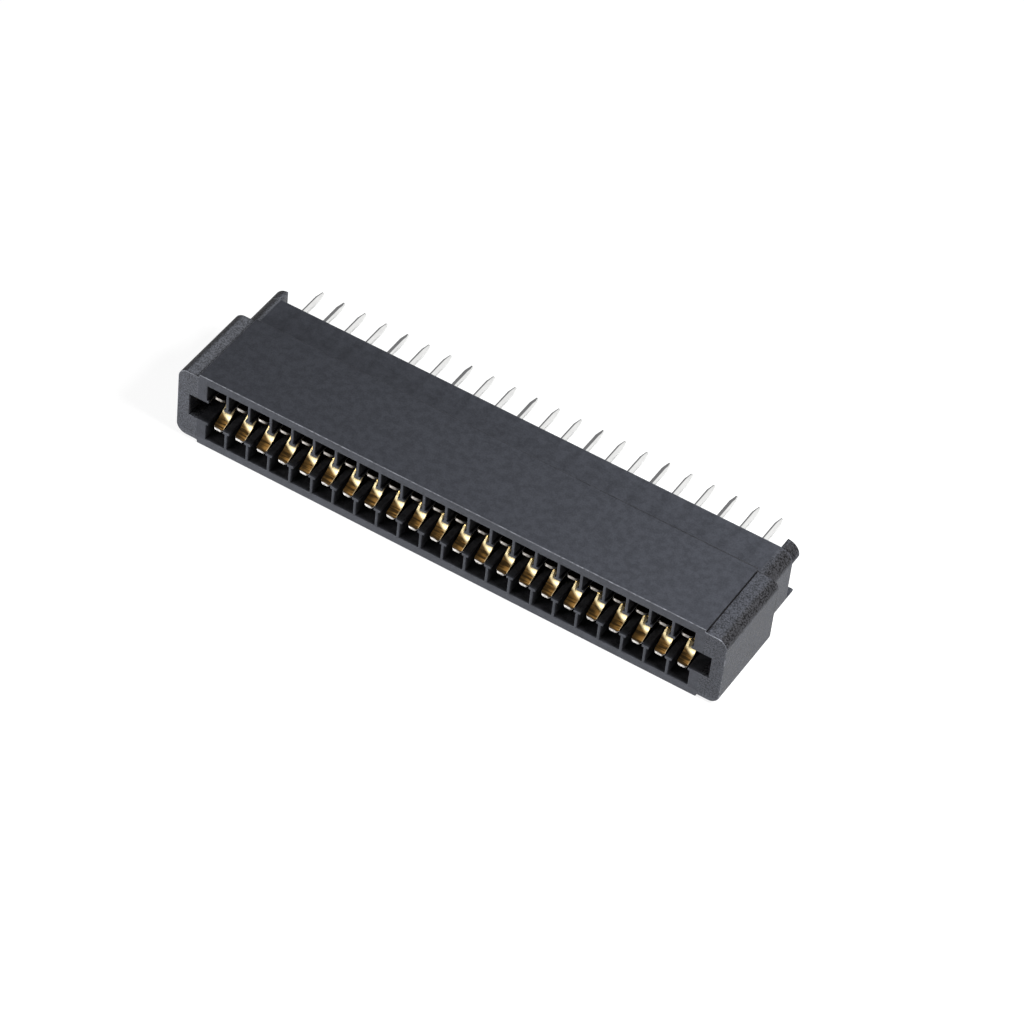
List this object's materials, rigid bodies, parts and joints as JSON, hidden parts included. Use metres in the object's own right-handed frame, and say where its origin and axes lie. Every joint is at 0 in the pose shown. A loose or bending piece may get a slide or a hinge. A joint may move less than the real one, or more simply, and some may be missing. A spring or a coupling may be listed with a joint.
{
  "type": "card edge connector",
  "caption": "Straight card edge connector: a dark moulded housing with a long card slot, facing rows of bent spring contacts in open cavities, corner standoffs and straight solder tails.",
  "frame": {"origin": "middle of the rectangle round the whole part, on the plane of the lower pad that it rests on", "axes": "+X along the card slot, -Y out of the slot's mouth, +Y along the solder tails, +Z through the thickness"},
  "size_m": [0.0624, 0.019, 0.0093],
  "materials": {
    "housing": "fine-grained, dark grey",
    "contact": "gold plated in the slot, bright tin on the tail"
  },
  "bodies": {
    "root": {"housing": "housing", "contact_upper_01": "contact", "contact_lower_01": "contact", "contact_upper_02": "contact", "contact_lower_02": "contact", "contact_upper_03": "contact", "contact_lower_03": "contact", "contact_upper_04": "contact", "contact_lower_04": "contact", "contact_upper_05": "contact", "contact_lower_05": "contact", "contact_upper_06": "contact", "contact_lower_06": "contact", "contact_upper_07": "contact", "contact_lower_07": "contact", "contact_upper_08": "contact", "contact_lower_08": "contact", "contact_upper_09": "contact", "contact_lower_09": "contact", "contact_upper_10": "contact", "contact_lower_10": "contact", "contact_upper_11": "contact", "contact_lower_11": "contact", "contact_upper_12": "contact", "contact_lower_12": "contact", "contact_upper_13": "contact", "contact_lower_13": "contact", "contact_upper_14": "contact", "contact_lower_14": "contact", "contact_upper_15": "contact", "contact_lower_15": "contact", "contact_upper_16": "contact", "contact_lower_16": "contact", "contact_upper_17": "contact", "contact_lower_17": "contact", "contact_upper_18": "contact", "contact_lower_18": "contact", "contact_upper_19": "contact", "contact_lower_19": "contact", "contact_upper_20": "contact", "contact_lower_20": "contact", "contact_upper_21": "contact", "contact_lower_21": "contact", "contact_upper_22": "contact", "contact_lower_22": "contact"}
  },
  "joints": []
}
